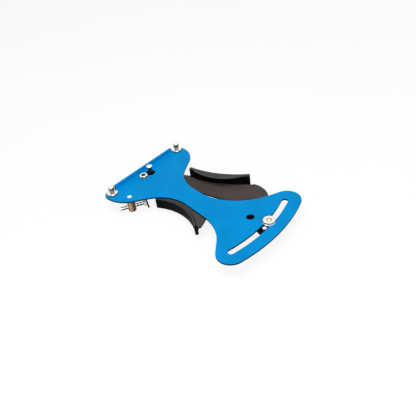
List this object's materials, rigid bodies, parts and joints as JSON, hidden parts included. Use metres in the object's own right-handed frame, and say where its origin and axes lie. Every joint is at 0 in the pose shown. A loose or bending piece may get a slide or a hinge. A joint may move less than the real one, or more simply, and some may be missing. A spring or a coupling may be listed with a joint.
{
  "type": "spoke_tension_meter",
  "caption": "Hand-held spoke tension meter: painted plate with two fixed posts, a sprung lever with a moving post, curved squeeze grips, an arc slot with a pointer and a calibration screw",
  "frame": {"origin": "Centre of the hang hole, on the front face of the painted plate.", "axes": "+X runs along the tool from the post end to the dial end, +Y towards the thumb side, +Z out of the painted face. The tool lies on its back."},
  "size_m": [0.231, 0.1519, 0.0333],
  "materials": {
    "painted_plate": "semi_gloss",
    "dark_sheet": "satin",
    "grip_plastic": "satin",
    "plated_steel": "zinc_plated",
    "bronze_plating": "satin",
    "bronze_bush": "sintered",
    "spring_wire": "black_oiled"
  },
  "bodies": {
    "frame": {"front_plate": "painted_plate", "fixed_post_finger": "plated_steel", "fixed_post_thumb": "plated_steel", "post_nuts": "plated_steel", "finger_plate": "dark_sheet", "finger_grip": "grip_plastic", "pivot_bolt": "plated_steel", "pivot_nut": "plated_steel", "pivot_bush": "bronze_bush", "lever_washer": "plated_steel", "spring_sleeve": "plated_steel", "spring_retainer": "plated_steel", "torsion_spring": "spring_wire"},
    "lever": {"lever_plate": "dark_sheet", "thumb_grip": "grip_plastic", "moving_post": "plated_steel", "pointer_disc": "plated_steel", "pointer_pin": "plated_steel", "pointer_spacer": "bronze_bush", "pointer_nut": "plated_steel", "guide_pin": "plated_steel"},
    "barrel": {"calibration_barrel": "bronze_plating", "barrel_rivet": "plated_steel"},
    "seat": {"spring_seat": "plated_steel"},
    "screw": {"calibration_screw": "plated_steel"}
  },
  "joints": [
    {"name": "lever_pivot", "type": "hinge", "parent": "frame", "child": "lever", "pos_m": [-0.171, -0.0073, -0.006], "axis": [0, 0, 1], "range_deg": [-15.8, 12.8], "stiffness_Nm_per_rad": 1.8, "deforming": ["torsion_spring"]},
    {"name": "barrel_swivel", "type": "hinge", "parent": "frame", "child": "barrel", "pos_m": [-0.1547, -0.0489, -0.01], "axis": [0, 0, 1], "range_deg": [-4, 4], "deforming": ["torsion_spring"]},
    {"name": "seat_slide", "type": "slide", "parent": "barrel", "child": "seat", "axis": [0.5329, 0.8462, 0], "range_m": [-0.002, 0.002], "deforming": ["torsion_spring"]},
    {"name": "screw_turn", "type": "hinge", "parent": "seat", "child": "screw", "pos_m": [-0.1547, -0.0489, -0.01544], "axis": [0.5329, 0.8462, 0], "range_deg": [-915, 915]}
  ],
  "couplings": [
    {"joint": "screw_turn", "follows": "seat_slide", "rad_per_m": 7854}
  ]
}
